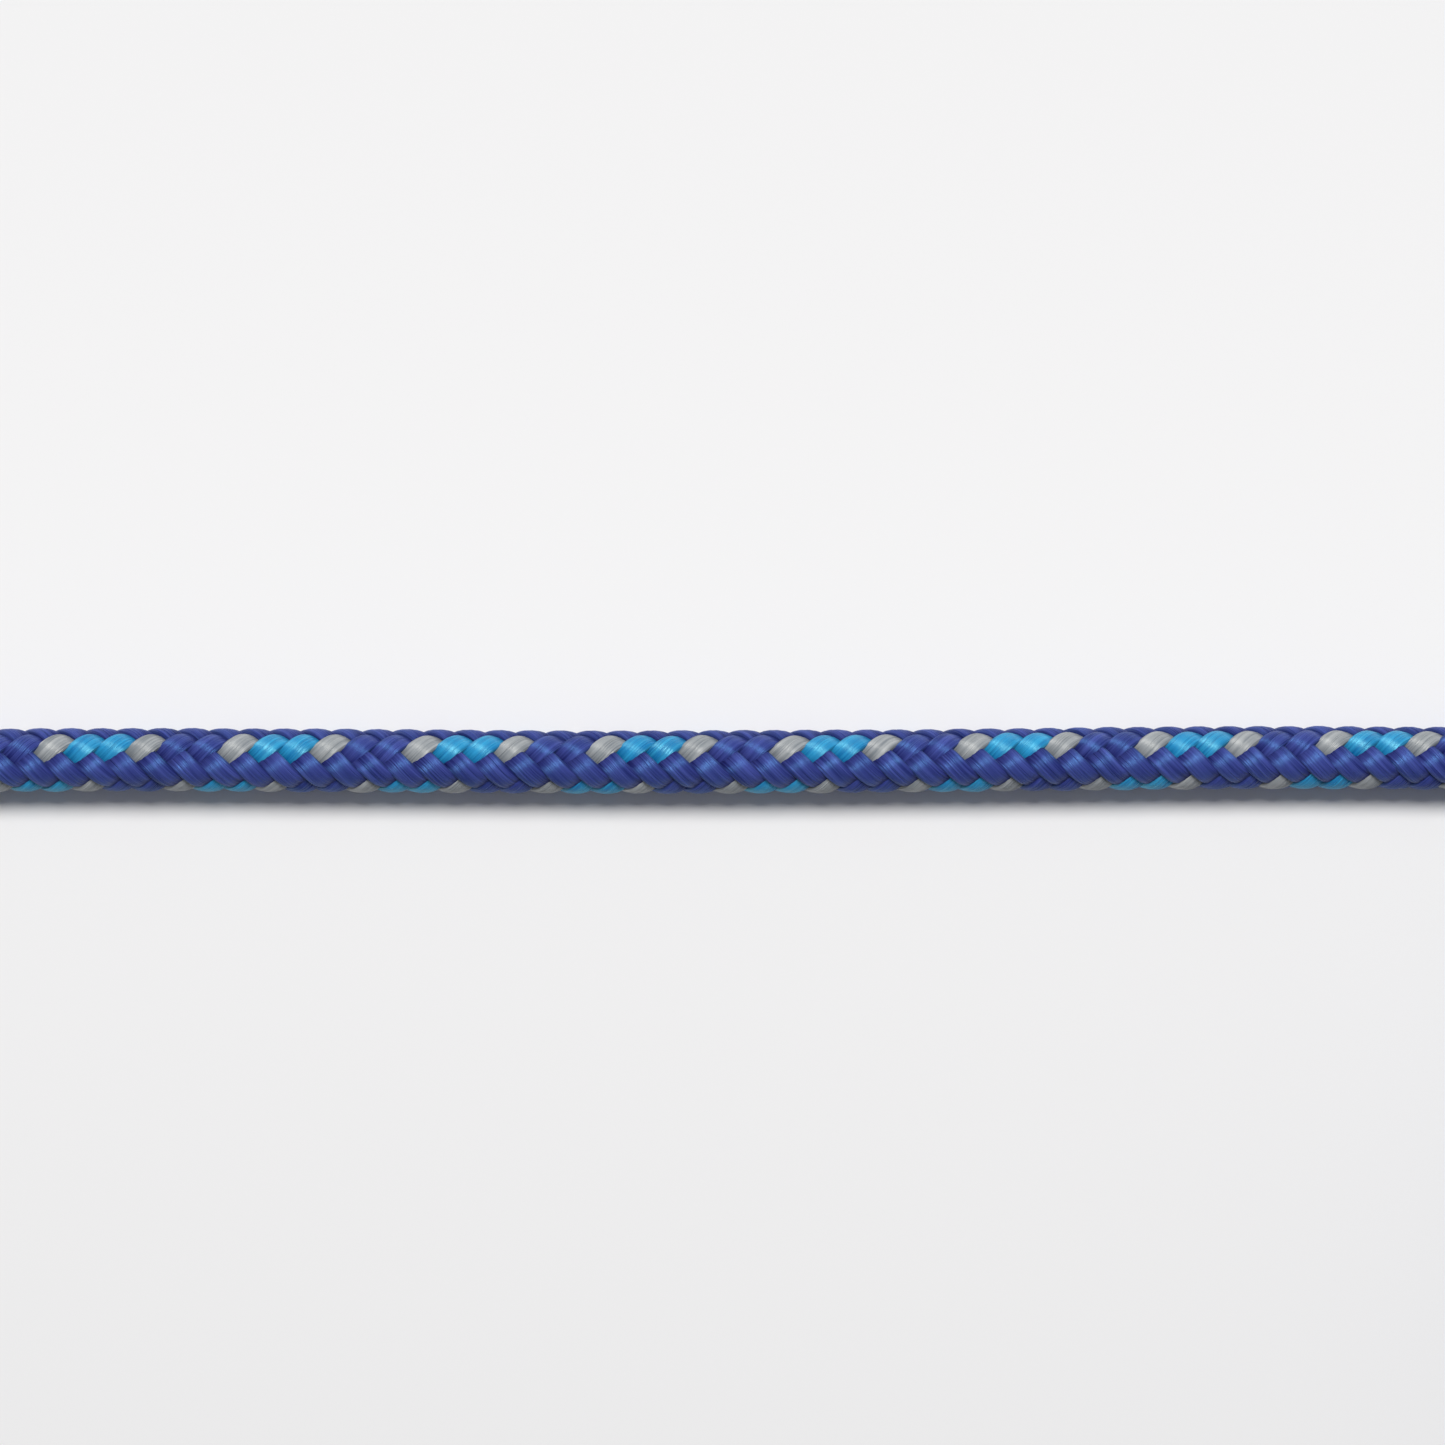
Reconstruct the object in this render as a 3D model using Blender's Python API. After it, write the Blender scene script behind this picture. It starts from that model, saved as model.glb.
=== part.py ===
"""A dynamic climbing rope: a core of nylon strands in a round braided sheath.

Its first stretch runs straight along the ground. The rest is folded into a hank of
piled loops, in line with it, and one strap ties the hank at its waist. Both ends are
cut hot, sealed and sleeved. Metres, +Z up. The origin is on the ground, under the
middle of the whole rope.
"""

import math

import bmesh
import bpy
import numpy as np
from mathutils import Vector

# The rope and what it is made of.
ROPE_DIAMETER = 0.0095
ROPE_LENGTH = 10.0
SHEATH_WALL = 0.001
MARKER_THREAD_DIAMETER = 0.0003
# How many core strands each ring has, from the sheath inwards.
CORE_RINGS = (10, 3)

# Pieces that touch keep this gap, so that no two solids share a face.
FIT_GAP = 0.0003

# The ends: a shrunk sleeve round the drawn-in sheath, then the melted tip.
SLEEVE_LENGTH = 0.025
SLEEVE_WALL = 0.00025
SLEEVE_GAP = 0.00025
SHOULDER_LENGTH = 0.001
TAPER_LENGTH = 0.0015
TIP_LENGTH = 0.002
TIP_DOME_STEPS = 4
TIP_FACE_SHARE = 0.55

# The straight run, and the rope's way on from there to the hank's first fold.
RUN_LENGTH = 0.300
LEAD_IN_LENGTH = 0.035
LEAD_IN_STEPS = 3

# The hank: layers of loops that spiral in and out again, drawn in at the waist.
LAYERS = 4
LOOPS_PER_LAYER = 4
TIGHTEST_FOLD_RADIUS = 0.0275
LOOP_STEP = 0.0112
LAYER_STEP = 0.0100
WAIST_DRAWN_IN = 0.0215
WAIST_LENGTH = 0.024
# A loop's 24 points: each run takes 7 steps, of which the middle one is the waist,
# and each fold takes 5.
RUN_STEPS = 7
FOLD_STEPS = 5
POINTS_PER_LOOP = 2 * (RUN_STEPS + FOLD_STEPS)
# The last run ends past the waist, after one of its three slanting steps.
LAST_LOOP_ENDS_AT = 0.5 + 1.5 / POINTS_PER_LOOP
# Where the bottom layer rests, it is cut flat by a tenth of the rope's diameter.
CUT_FLAT = ROPE_DIAMETER / 10

# The tie.
TIE_WIDTH = 0.020
TIE_THICKNESS = 0.001
TIE_LAP_LENGTH = 0.020
TIE_OFF_THE_GROUND = 0.0003
TIE_CORNER_STEPS = 5

# How finely round shapes are cut into flats.
ROUND_SIDES = 24
STRAND_SIDES = 12
HANK_BEVEL_RESOLUTION = 1
SMOOTH_ANGLE = math.radians(35)
MERGE_DISTANCE = 0.000001

ROPE_RADIUS = ROPE_DIAMETER / 2
BORE_RADIUS = ROPE_RADIUS - SHEATH_WALL
# Core strands as thick as the outer ring takes, with the gap between them and all round.
HALF_SPACING = math.sin(math.pi / CORE_RINGS[0])
CORE_RADIUS = ((BORE_RADIUS - FIT_GAP) * HALF_SPACING - FIT_GAP / 2) / (1 + HALF_SPACING)
END_RADIUS = ROPE_RADIUS - SLEEVE_WALL - SLEEVE_GAP
END_LENGTH = SLEEVE_LENGTH + SHOULDER_LENGTH
TAIL_LENGTH = ROPE_DIAMETER + TAPER_LENGTH + END_LENGTH
LOOPS = LAYERS * LOOPS_PER_LAYER - 1 + LAST_LOOP_ENDS_AT
HALF_RUN_TURNS = RUN_STEPS / 2 / POINTS_PER_LOOP
OUTER_FOLD_RADIUS = TIGHTEST_FOLD_RADIUS + (LOOPS_PER_LAYER - HALF_RUN_TURNS) * LOOP_STEP
FIRST_LAYER_HEIGHT = ROPE_RADIUS - CUT_FLAT
WAIST_LIFT = CUT_FLAT + FIT_GAP + TIE_THICKNESS + TIE_OFF_THE_GROUND
FIRST_FOLD_X = RUN_LENGTH + FIT_GAP + LEAD_IN_LENGTH


def smooth(share):
    """0 before 0, 1 after 1 and an even rise between."""
    share = min(1.0, max(0.0, share))
    return share * share * (3 - 2 * share)


def loops_inward(turn):
    """How many steps the rope lies inside the first loop's start: in over one layer, out over the next."""
    span = LOOPS_PER_LAYER
    return turn if turn < 0 else abs((turn + span) % (2 * span) - span)


def layer_height(turn):
    """The height of the rope's centre. It climbs a layer along the run where the spiral reverses."""
    height = FIRST_LAYER_HEIGHT
    for layer in range(1, LAYERS):
        start = layer * LOOPS_PER_LAYER - HALF_RUN_TURNS
        height += LAYER_STEP * smooth((turn - start) / (2 * HALF_RUN_TURNS))
    return height


def hank_point(turn, half_run):
    """The rope's centre after that many loops, from the hank's own middle on the ground.

    A loop starts at the waist on the +Y side and goes clockwise, seen from above.
    """
    side = 1 if round(turn * 2) % 2 == 0 else -1
    step = (turn * 2 - round(turn * 2)) * POINTS_PER_LOOP / 2
    radius = OUTER_FOLD_RADIUS - LOOP_STEP * loops_inward(turn)
    height = layer_height(turn)
    if abs(step) > RUN_STEPS / 2:
        angle = math.pi * (abs(step) - RUN_STEPS / 2) / FOLD_STEPS
        x = half_run + radius * math.sin(angle)
        return Vector((math.copysign(x, step * side), side * radius * math.cos(angle), height))
    slant_length = half_run - WAIST_LENGTH / 2
    slant = (abs(step) - 0.5) / ((RUN_STEPS - 1) / 2)
    x = WAIST_LENGTH * abs(step) if slant < 0 else WAIST_LENGTH / 2 + slant_length * slant
    waist = 1 - smooth(slant)
    y = side * (radius - WAIST_DRAWN_IN * waist)
    return Vector((math.copysign(x, step * side), y, height + WAIST_LIFT * waist))


def hank_points(half_run, points_per_loop):
    count = round((LOOPS + HALF_RUN_TURNS) * points_per_loop)
    turns = [LOOPS - (count - i) / points_per_loop for i in range(count + 1)]
    return [hank_point(turn, half_run) for turn in turns]


def line_length(points):
    return sum((after - before).length for before, after in zip(points, points[1:]))


def half_run_length():
    """Half the length of a straight run, which gives the hank what the rest leaves of the rope's length."""
    wanted = ROPE_LENGTH - FIRST_FOLD_X - TAIL_LENGTH - 2 * (TIP_LENGTH + FIT_GAP)
    low, high = WAIST_LENGTH, 10 * OUTER_FOLD_RADIUS
    for _ in range(40):
        middle = (low + high) / 2
        if line_length(hank_points(middle, 8 * POINTS_PER_LOOP)) < wanted:
            low = middle
        else:
            high = middle
    return middle


HALF_RUN = half_run_length()
HANK_MIDDLE = Vector((FIRST_FOLD_X + HALF_RUN, -hank_point(-HALF_RUN_TURNS, HALF_RUN).y, 0))


def hank_line():
    return [HANK_MIDDLE + point for point in hank_points(HALF_RUN, POINTS_PER_LOOP)]


def tail_start_and_direction():
    """Where the last run ends, and the way it points there, which the straight tail keeps."""
    last = hank_point(LOOPS, HALF_RUN)
    after = hank_point(LOOPS + 1 / POINTS_PER_LOOP, HALF_RUN)
    along = after - last
    along.z = 0
    return HANK_MIDDLE + last, along.normalized()


def lead_in_points():
    """From the end of the straight run down to the cut-flat layer, level for one rope diameter at first."""
    start = RUN_LENGTH + FIT_GAP
    points = [Vector((start, 0, ROPE_RADIUS))]
    for step in range(LEAD_IN_STEPS):
        share = step / LEAD_IN_STEPS
        x = start + ROPE_DIAMETER + share * (LEAD_IN_LENGTH - ROPE_DIAMETER)
        points.append(Vector((x, 0, ROPE_RADIUS - CUT_FLAT * smooth(share))))
    return points


def material(name, colour, roughness):
    made = bpy.data.materials.new(name)
    made.use_nodes = True
    shader = made.node_tree.nodes["Principled BSDF"]
    shader.inputs["Base Color"].default_value = (*colour, 1)
    shader.inputs["Roughness"].default_value = roughness
    shader.inputs["Metallic"].default_value = 0
    return made


def add_object(name, data, finish):
    made = bpy.data.objects.new(name, data)
    bpy.context.scene.collection.objects.link(made)
    data.materials.append(finish)
    return made


def lathe(name, profile, sides, finish):
    """An (x, radius) outline spun about the X axis. It is closed, unless it starts and ends on the axis."""
    shape = bmesh.new()
    corners = [shape.verts.new((x, 0, radius)) for x, radius in profile]
    pairs = list(zip(corners, corners[1:]))
    if profile[0][1] > 0:
        pairs.append((corners[-1], corners[0]))
    edges = [shape.edges.new(pair) for pair in pairs]
    bmesh.ops.spin(
        shape,
        geom=corners + edges,
        cent=(0, 0, 0),
        axis=(1, 0, 0),
        angle=2 * math.pi,
        steps=sides,
    )
    bmesh.ops.remove_doubles(shape, verts=shape.verts, dist=MERGE_DISTANCE)
    bmesh.ops.recalc_face_normals(shape, faces=shape.faces)
    mesh = bpy.data.meshes.new(name)
    shape.to_mesh(mesh)
    shape.free()
    mesh.shade_smooth()
    mesh.set_sharp_from_angle(angle=SMOOTH_ANGLE)
    return add_object(name, mesh, finish)


def run_sheath(finish):
    """The sheath of the straight run: a tube, drawn in where the end sleeve grips it."""
    profile = [
        (RUN_LENGTH, BORE_RADIUS),
        (RUN_LENGTH, ROPE_RADIUS),
        (END_LENGTH + TAPER_LENGTH, ROPE_RADIUS),
        (END_LENGTH, END_RADIUS),
        (0, END_RADIUS),
        (0, BORE_RADIUS),
    ]
    made = lathe("run_sheath", profile, ROUND_SIDES, finish)
    made.location = (0, 0, ROPE_RADIUS)
    return made


def straight_strand(name, radius, distance, angle, finish):
    """A strand along the whole straight run, off the rope's axis by a distance at an angle."""
    profile = [(RUN_LENGTH, 0), (RUN_LENGTH, radius), (0, radius), (0, 0)]
    made = lathe(name, profile, STRAND_SIDES, finish)
    made.location = (0, distance * math.sin(angle), ROPE_RADIUS + distance * math.cos(angle))
    return made


def core_strands(finish):
    """Rings of strands inside each other, from the sheath inwards."""
    made = []
    distance = BORE_RADIUS - FIT_GAP - CORE_RADIUS
    for count in CORE_RINGS:
        for index in range(count):
            angle = 2 * math.pi * index / count
            name = f"core_strand_{len(made) + 1}"
            made.append(straight_strand(name, CORE_RADIUS, distance, angle, finish))
        distance -= 2 * CORE_RADIUS + FIT_GAP
    return made


def marker_thread(finish):
    """The thread that marks the year of making, between two outer strands and the sheath."""
    radius = MARKER_THREAD_DIAMETER / 2
    distance = BORE_RADIUS - FIT_GAP - radius
    return straight_strand("marker_thread", radius, distance, math.pi / CORE_RINGS[0], finish)


def end_sleeve(name, finish):
    """A thin shrunk tube, which starts at x 0 and is flush with the full sheath."""
    inside = ROPE_RADIUS - SLEEVE_WALL
    profile = [(SLEEVE_LENGTH, inside), (SLEEVE_LENGTH, ROPE_RADIUS), (0, ROPE_RADIUS), (0, inside)]
    return lathe(name, profile, ROUND_SIDES, finish)


def sealed_tip(name, finish):
    """The melted end: a flat face at x 0 that meets the rope, domed towards +X."""
    profile = [(0, 0), (0, END_RADIUS)]
    for step in range(TIP_DOME_STEPS + 1):
        angle = math.pi / 2 * step / TIP_DOME_STEPS
        radius = END_RADIUS * (TIP_FACE_SHARE + (1 - TIP_FACE_SHARE) * math.cos(angle))
        profile.append((TIP_LENGTH / 2 * (1 + math.sin(angle)), radius))
    profile.append((TIP_LENGTH, 0))
    return lathe(name, profile, ROUND_SIDES, finish)


def place(piece, position, direction):
    """Moves a lathed piece to a point and turns its X axis to a level direction."""
    piece.location = position
    piece.rotation_euler = (0, 0, math.atan2(direction.y, direction.x))


def run_end(sleeve_finish, tip_finish):
    """The sleeve and tip of the straight run, which point towards -X."""
    backwards = Vector((-1, 0, 0))
    sleeve = end_sleeve("run_end_sleeve", sleeve_finish)
    place(sleeve, (END_LENGTH, 0, ROPE_RADIUS), backwards)
    tip = sealed_tip("run_sealed_tip", tip_finish)
    place(tip, (-FIT_GAP, 0, ROPE_RADIUS), backwards)
    return [sleeve, tip]


def hank_end(sleeve_finish, tip_finish):
    """The sleeve and tip of the other end, which lies along the hank's top layer."""
    start, along = tail_start_and_direction()
    sleeve = end_sleeve("hank_end_sleeve", sleeve_finish)
    place(sleeve, start + along * (ROPE_DIAMETER + TAPER_LENGTH), along)
    tip = sealed_tip("hank_sealed_tip", tip_finish)
    place(tip, start + along * (TAIL_LENGTH + FIT_GAP), along)
    return [sleeve, tip]


def hank_curve():
    """The lead-in, every loop of the hank and the drawn-in tail, on one line."""
    start, along = tail_start_and_direction()
    full = start + along * ROPE_DIAMETER
    drawn_in = [full + along * TAPER_LENGTH, full + along * (TAPER_LENGTH + END_LENGTH)]
    points = lead_in_points() + hank_line() + [full] + drawn_in
    curve = bpy.data.curves.new("hank_line", "CURVE")
    curve.dimensions = "3D"
    curve.twist_mode = "Z_UP"
    curve.bevel_depth = ROPE_RADIUS
    curve.bevel_resolution = HANK_BEVEL_RESOLUTION
    curve.use_fill_caps = True
    spline = curve.splines.new("POLY")
    spline.points.add(len(points) - 1)
    for control, point in zip(spline.points, points):
        control.co = (*point, 1)
    for control in spline.points[-len(drawn_in):]:
        control.radius = END_RADIUS / ROPE_RADIUS
    return curve


def hank(finish):
    """One unbroken tube with every loop, cut flat where its bottom layer rests."""
    line = bpy.data.objects.new("hank_line", hank_curve())
    bpy.context.scene.collection.objects.link(line)
    graph = bpy.context.evaluated_depsgraph_get()
    mesh = bpy.data.meshes.new_from_object(line.evaluated_get(graph))
    mesh.name = "hank"
    bpy.data.objects.remove(line)
    for vertex in mesh.vertices:
        vertex.co.z = max(vertex.co.z, 0)
    mesh.shade_smooth()
    return add_object("hank", mesh, finish)


def print_least_gap():
    """Measures how near the hank comes to itself, from surface to surface, on points along its line."""
    line = np.array(hank_line())
    shares = np.linspace(0, 1, 8, endpoint=False)[None, :, None]
    points = (line[:-1, None] + (line[1:] - line[:-1])[:, None] * shares).reshape(-1, 3)
    steps = np.linalg.norm(np.diff(points, axis=0), axis=1)
    travelled = np.concatenate([[0], np.cumsum(steps)])
    least = math.inf
    for index, point in enumerate(points):
        others = points[travelled > travelled[index] + 2 * TIGHTEST_FOLD_RADIUS]
        if len(others):
            least = min(least, float(np.linalg.norm(others - point, axis=1).min()))
    print(f"least gap of the hank to itself: {(least - ROPE_DIAMETER) * 1000:.2f} mm")


def rounded_outline(left, right, low, high, corner):
    """A rectangle with round corners, anticlockwise from the lower right."""
    centres = [
        (right - corner, low + corner, -90),
        (right - corner, high - corner, 0),
        (left + corner, high - corner, 90),
        (left + corner, low + corner, 180),
    ]
    points = []
    for x, y, start in centres:
        for step in range(TIE_CORNER_STEPS + 1):
            angle = math.radians(start + 90 * step / TIE_CORNER_STEPS)
            points.append((x + corner * math.cos(angle), y + corner * math.sin(angle)))
    return points


def hank_tie(finish):
    """A strap round every run at the waist, with its end lapped over itself on top.

    It is drawn flat, with X across the hank and Y up, then extruded and stood up.
    The runs on the -Y side lie half a step further in, and all drift a little along it.
    """
    drift = LOOP_STEP / (2 * POINTS_PER_LOOP)
    right = OUTER_FOLD_RADIUS - WAIST_DRAWN_IN + ROPE_RADIUS + FIT_GAP + drift
    left = LOOP_STEP / 2 - right
    low = FIRST_LAYER_HEIGHT + WAIST_LIFT - ROPE_RADIUS - FIT_GAP
    high = low + (LAYERS - 1) * LAYER_STEP + ROPE_DIAMETER + 2 * FIT_GAP
    thick = TIE_THICKNESS
    hole = rounded_outline(left, right, low, high, ROPE_RADIUS)
    rim = rounded_outline(left - thick, right + thick, low - thick, high + thick, ROPE_RADIUS + thick)
    lap = [
        (TIE_LAP_LENGTH / 2, high + thick),
        (TIE_LAP_LENGTH / 2, high + 2 * thick),
        (-TIE_LAP_LENGTH / 2, high + 2 * thick),
        (-TIE_LAP_LENGTH / 2, high + thick),
    ]
    before_top = 2 * (TIE_CORNER_STEPS + 1)
    rim = rim[:before_top] + lap + rim[before_top:]
    curve = bpy.data.curves.new("hank_tie", "CURVE")
    curve.dimensions = "2D"
    curve.fill_mode = "BOTH"
    curve.extrude = TIE_WIDTH / 2
    for outline in (rim, hole):
        spline = curve.splines.new("POLY")
        spline.points.add(len(outline) - 1)
        for control, (x, y) in zip(spline.points, outline):
            control.co = (x, y, 0, 1)
        spline.use_cyclic_u = True
    made = add_object("hank_tie", curve, finish)
    made.location = HANK_MIDDLE
    made.rotation_euler = (math.pi / 2, 0, math.pi / 2)
    return made


def stand_over_origin(pieces):
    """Carries every piece on one empty, so that the middle of the whole footprint is over the origin."""
    bpy.context.view_layer.update()
    graph = bpy.context.evaluated_depsgraph_get()
    corners = []
    for piece in pieces:
        mesh = bpy.data.meshes.new_from_object(piece.evaluated_get(graph))
        corners += [piece.matrix_world @ vertex.co for vertex in mesh.vertices]
        bpy.data.meshes.remove(mesh)
    low = [min(corner[axis] for corner in corners) for axis in range(2)]
    high = [max(corner[axis] for corner in corners) for axis in range(2)]
    carrier = bpy.data.objects.new("rope", None)
    bpy.context.scene.collection.objects.link(carrier)
    for piece in pieces:
        piece.parent = carrier
    carrier.location = (-(low[0] + high[0]) / 2, -(low[1] + high[1]) / 2, 0)


def main():
    for old in list(bpy.data.objects):
        bpy.data.objects.remove(old)
    sheath = material("braided blue polyamide sheath", (0.035, 0.055, 0.30), 0.55)
    core = material("white polyamide core", (0.85, 0.85, 0.82), 0.7)
    marker = material("yellow marker thread", (0.85, 0.65, 0.05), 0.6)
    sleeve = material("black shrink sleeve", (0.02, 0.02, 0.022), 0.35)
    tip = material("melted polyamide", (0.02, 0.03, 0.12), 0.3)
    strap = material("grey strap webbing", (0.10, 0.10, 0.11), 0.8)

    pieces = [run_sheath(sheath), *core_strands(core), marker_thread(marker)]
    pieces += run_end(sleeve, tip)
    pieces.append(hank(sheath))
    pieces += hank_end(sleeve, tip)
    pieces.append(hank_tie(strap))
    stand_over_origin(pieces)
    print_least_gap()


main()
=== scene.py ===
"""The looks of a dynamic climbing rope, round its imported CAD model.

Twelve flat strands of polyamide yarn are braided two over two along the whole rope:
straight in front of the camera, and folded into a tied hank out of its view. Metres,
in the CAD model's own frame.
"""

import math

import bpy
import numpy as np
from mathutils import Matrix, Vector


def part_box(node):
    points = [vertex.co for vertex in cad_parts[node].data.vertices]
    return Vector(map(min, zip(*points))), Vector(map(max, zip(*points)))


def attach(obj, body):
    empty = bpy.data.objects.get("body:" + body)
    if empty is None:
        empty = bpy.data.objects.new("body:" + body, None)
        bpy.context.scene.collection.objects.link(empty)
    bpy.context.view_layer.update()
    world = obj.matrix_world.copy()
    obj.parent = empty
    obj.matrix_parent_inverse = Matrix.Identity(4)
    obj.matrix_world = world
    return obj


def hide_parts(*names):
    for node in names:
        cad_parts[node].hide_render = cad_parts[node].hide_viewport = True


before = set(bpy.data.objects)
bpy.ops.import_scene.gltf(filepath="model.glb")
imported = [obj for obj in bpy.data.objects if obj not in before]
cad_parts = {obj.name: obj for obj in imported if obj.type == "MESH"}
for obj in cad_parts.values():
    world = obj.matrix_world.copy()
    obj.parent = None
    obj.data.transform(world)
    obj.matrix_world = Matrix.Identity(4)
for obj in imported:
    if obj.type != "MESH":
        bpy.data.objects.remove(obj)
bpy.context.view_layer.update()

# The route's sizes, as in the CAD source.
ROPE_DIAMETER = 0.0095
ROPE_LENGTH = 10.0
FIT_GAP = 0.0003
RUN_LENGTH = 0.300
LEAD_IN_LENGTH = 0.035
LAYERS = 4
LOOPS_PER_LAYER = 4
TIGHTEST_FOLD_RADIUS = 0.0275
LOOP_STEP = 0.0112
LAYER_STEP = 0.0100
WAIST_DRAWN_IN = 0.0215
WAIST_LENGTH = 0.024
RUN_STEPS = 7
FOLD_STEPS = 5
POINTS_PER_LOOP = 2 * (RUN_STEPS + FOLD_STEPS)
TIE_THICKNESS = 0.001
TIE_OFF_THE_GROUND = 0.0003
SLEEVE_LENGTH = 0.025
SLEEVE_WALL = 0.00025
TIP_LENGTH = 0.002
TIE_WIDTH = 0.020
TIE_LAP_LENGTH = 0.020
TIE_FADE_LENGTH = 0.006
SHOULDER_LENGTH = 0.001
TAPER_LENGTH = 0.0015
END_RADIUS = 0.00425
ROPE_RADIUS = ROPE_DIAMETER / 2
CUT_FLAT = ROPE_DIAMETER / 10
END_LENGTH = SLEEVE_LENGTH + SHOULDER_LENGTH
TAIL_LENGTH = ROPE_DIAMETER + TAPER_LENGTH + END_LENGTH
LOOPS = LAYERS * LOOPS_PER_LAYER - 0.5 + 1.5 / POINTS_PER_LOOP
HALF_RUN_TURNS = RUN_STEPS / 2 / POINTS_PER_LOOP
OUTER_FOLD_RADIUS = TIGHTEST_FOLD_RADIUS + (LOOPS_PER_LAYER - HALF_RUN_TURNS) * LOOP_STEP
FIRST_LAYER_HEIGHT = ROPE_RADIUS - CUT_FLAT
WAIST_LIFT = CUT_FLAT + FIT_GAP + TIE_THICKNESS + TIE_OFF_THE_GROUND
FIRST_FOLD_X = RUN_LENGTH + FIT_GAP + LEAD_IN_LENGTH

# The braid: six strands each way, over two and under two.
STRANDS_EACH_WAY = 6
HELIX_PITCH = 0.02725
STRAND_WIDTH = 0.00345
STRAND_THICKNESS = 0.00122
# The power of the rounded bar that a strand's section is: 2 is an ellipse, and more is squarer.
SECTION_SQUARENESS = 3.4
SECTION_BOW = 0.10
FULLER_WHERE_OVER = 0.20
WAVE_HEIGHT = 0.00052
WAVE_SQUARENESS = 0.8
LEFT_STRANDS_PROUDER = 0.25
LEFT_STRANDS_SHIFT = 0.0002
# Each strand wanders a little to either side, and in and out, as it goes.
LOOSE_BY = 0.00007
LOOSE_OVER = (0.031, 0.0173)
LOOSE_PHASE_STEP = 2.4
RISES_WHERE_LOOSE = 0.5
# Whole waves added to each strand's UVs, so that no two strands have the same filaments.
WAVES_BETWEEN_STRANDS = 404
RIB_ANGLE_AT_VIEW = math.radians(-40.0)
RIB_DRIFT_PER_METRE = math.radians(-10) / 0.2145
FIRST_TRACER_FROM_VIEW = -0.0989
TIGHTER_BEYOND_VIEW = 0.040
TIGHTER_BY = 0.022
LINING_RADIUS = 0.0034
LINING_SIDES = 12
LINING_RING_SPACING = 0.004
# Where the rope rests, what lies below this share of its radius is squeezed.
FIRM_SHARE = 0.6

# How far the run sways off its straight line, as (distance from its start, towards +Y).
RUN_SWAY = (
    (0.000, 0.00000),
    (0.050, 0.00052),
    (0.085, 0.00027),
    (0.121, 0.00006),
    (0.156, 0.00014),
    (0.192, 0.00056),
    (0.228, 0.00082),
    (0.262, 0.00050),
    (0.295, 0.00000),
)
SWAY_SMOOTHING = 0.010

# The sleeves, the melted tips, the strap and its stitches.
SLEEVE_RELIEF = 0.00008
SLEEVE_EDGE_ROLL = 0.0006
SLEEVE_SIDES = 96
SLEEVE_STEPS = 120
TIP_RADIUS = 0.0045
TIP_LAP = 0.0004
TIP_ROUNDNESS = 0.45
TIP_FOOT_SHARE = 0.25
TIP_DOME_SHARE = 0.7
TIP_UNEVEN_WAVES = 5
TIP_RIM_UNEVEN = 0.03
TIP_TOP_UNEVEN = 0.0002
TIP_SIDES = 48
TIP_STEPS = 20
TIE_STEP = 0.0005
TIE_CORNER_STEPS = 8
TIE_ACROSS_STEPS = 12
TIE_EDGE_STEPS = 6
TIE_EDGE_GAP = 0.00002
STITCH_LENGTH = 0.0022
STITCH_SHARE = 0.76
STITCH_RADIUS = 0.00022
STITCH_ARCH = 1.3
STITCH_DEPTH = 0.9
STITCH_SIDES = 8
STITCH_STEPS = 10
SEAM_INSET = 0.002

# The sizes of the finishes' patterns, as (across a strand, along it) or across one patch.
# Filaments and spun fibres are about 0.03 mm thick. They are drawn about six times as
# coarse, so that they show, and those on the painted shade between strands coarser still.
FILAMENT_SIZE = (0.00019, 0.0077)
BUNDLE_SIZE = (0.0007, 0.0143)
WORN_PATCH_SIZE = (0.0029, 0.0133)
FILAMENT_RELIEF = 0.0003
YARN_PINCH = 0.0003
SHADED_FILAMENT_SIZE = 0.001111
SHADED_FILAMENT_RELIEF = 0.0002
TUBE_CLOUD_SIZE = 0.003846
TUBE_SCUFF_SIZE = 0.0004167
TUBE_SCUFF_RELIEF = 0.00005
MELT_SWIRL_SIZE = 0.002381
MELT_RELIEF = 0.00015
WEBBING_RIB = 0.0009
WEBBING_HERRINGBONE = 0.0025
WEBBING_FUZZ_SIZE = 0.0001923
WEBBING_FUZZ = 0.9
WEBBING_RELIEF = 0.00012
THREAD_FIBRE_SIZE = 0.0001667

# The finishes. The yarn's tone goes from its dark to its light over the middle of its noise.
# Its painted shade and its gloss change over a range of the cosine of its place in the weave.
YARN_DARK_UP_TO = 0.36
YARN_LIGHT_FROM = 0.64
# Painted shade in the yarn's colour: darker where a strand goes under and along its edges.
PAINTED_SHADE_OVER = (-0.1, 0.6)
PAINTED_SHADE_WHERE_UNDER = 0.58
PAINTED_EDGE_SHADE_FROM = 0.78
PAINTED_SHADE_AT_EDGES = 0.5
GLOSS_OVER = (0.0, 0.7)
GLOSS_WHERE_UNDER = 0.1
GLOSS_UNEVEN = 0.3
# Polyamide's own index is about 1.53, raised to match the strong shine of drawn filaments.
YARN_IOR = 1.7
YARN_ROUGHNESS = 0.4
YARN_ANISOTROPY = 0.9
YARN_SHEEN = 0.08
YARN_SHEEN_ROUGHNESS = 0.35
SHADED_YARN_ROUGHNESS = 0.85
TUBE_ROUGHNESS = (0.28, 0.5)
MELT_ROUGHNESS = 0.24
WEBBING_ROUGHNESS = 0.75
THREAD_ROUGHNESS = 0.6
PAPER_ROUGHNESS = 0.9

# How finely the strands are cut, near the camera and in the hank.
FINE_RINGS_PER_PITCH = 76
FINE_SIDES = 24
COARSE_RINGS_PER_PITCH = 18
COARSE_SIDES = 8
LINE_STEP = 0.0005
LINE_SMOOTHING = 0.004
MEASURING_POINTS_PER_STEP = 8
LINE_POINTS_PER_STEP = 64
HALVINGS = 40

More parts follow.
